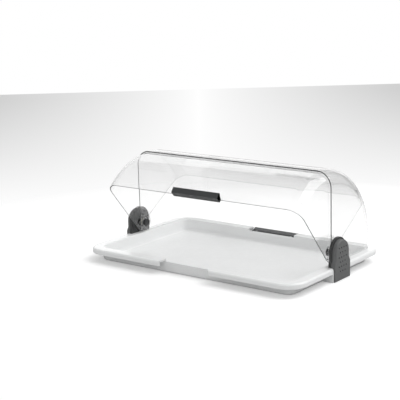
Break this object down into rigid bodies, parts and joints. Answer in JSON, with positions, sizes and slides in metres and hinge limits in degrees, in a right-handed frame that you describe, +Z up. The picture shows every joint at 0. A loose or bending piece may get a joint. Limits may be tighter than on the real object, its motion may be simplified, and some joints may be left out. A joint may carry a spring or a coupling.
{
  "type": "countertop bread display bin",
  "caption": "White serving tray under two clear roll-top covers that turn on one axis between side brackets and open from the front or the rear by a grip.",
  "frame": {"origin": "centre of the tray on the plane of its underside, midway between the brackets", "axes": "+X right along the pivot axis, +Y to the rear, +Z up"},
  "size_m": [0.5416, 0.344, 0.2176],
  "materials": {
    "tray_white": "glossy injection-moulded white plastic",
    "cover_clear": "clear polished polycarbonate, see-through",
    "bracket_grey": "dark grey moulded plastic, fine matt texture",
    "grip_grey": "dark grey moulded plastic, satin",
    "knob_grey": "near-black moulded plastic",
    "fastener_steel": "zinc-plated steel",
    "washer_nylon": "natural nylon"
  },
  "bodies": {
    "base": {"tray": "tray_white", "right_bracket": "bracket_grey", "right_bracket_block": "bracket_grey", "right_bracket_screws": "fastener_steel", "right_block_screws": "fastener_steel", "right_pivot_bolt": "fastener_steel", "right_spacer": "knob_grey", "right_middle_washer": "washer_nylon", "right_spring_washer": "fastener_steel", "left_bracket": "bracket_grey", "left_bracket_block": "bracket_grey", "left_bracket_screws": "fastener_steel", "left_block_screws": "fastener_steel", "left_pivot_bolt": "fastener_steel", "left_spacer": "knob_grey", "left_middle_washer": "washer_nylon", "left_spring_washer": "fastener_steel"},
    "rear_lid": {"rear_cover": "cover_clear", "rear_grip": "grip_grey", "rear_grip_strip": "grip_grey", "rear_grip_screws": "fastener_steel"},
    "front_lid": {"front_cover": "cover_clear", "front_grip": "grip_grey", "front_grip_strip": "grip_grey", "front_grip_screws": "fastener_steel"},
    "right_knob_body": {"right_knob": "knob_grey"},
    "left_knob_body": {"left_knob": "knob_grey"}
  },
  "joints": [
    {"name": "front_cover_hinge", "type": "hinge", "parent": "base", "child": "front_lid", "pos_m": [0, 0, 0.052], "axis": [-1, 0, 0], "range_deg": [-50.4, 14.6]},
    {"name": "rear_cover_hinge", "type": "hinge", "parent": "base", "child": "rear_lid", "pos_m": [0, 0, 0.052], "axis": [-1, 0, 0], "range_deg": [-25, 0]},
    {"name": "right_knob_turn", "type": "hinge", "parent": "base", "child": "right_knob_body", "pos_m": [0.2372, 0, 0.052], "axis": [-1, 0, 0], "range_deg": [0, 360]},
    {"name": "left_knob_turn", "type": "hinge", "parent": "base", "child": "left_knob_body", "pos_m": [-0.2372, 0, 0.052], "axis": [1, 0, 0], "range_deg": [0, 360]}
  ]
}
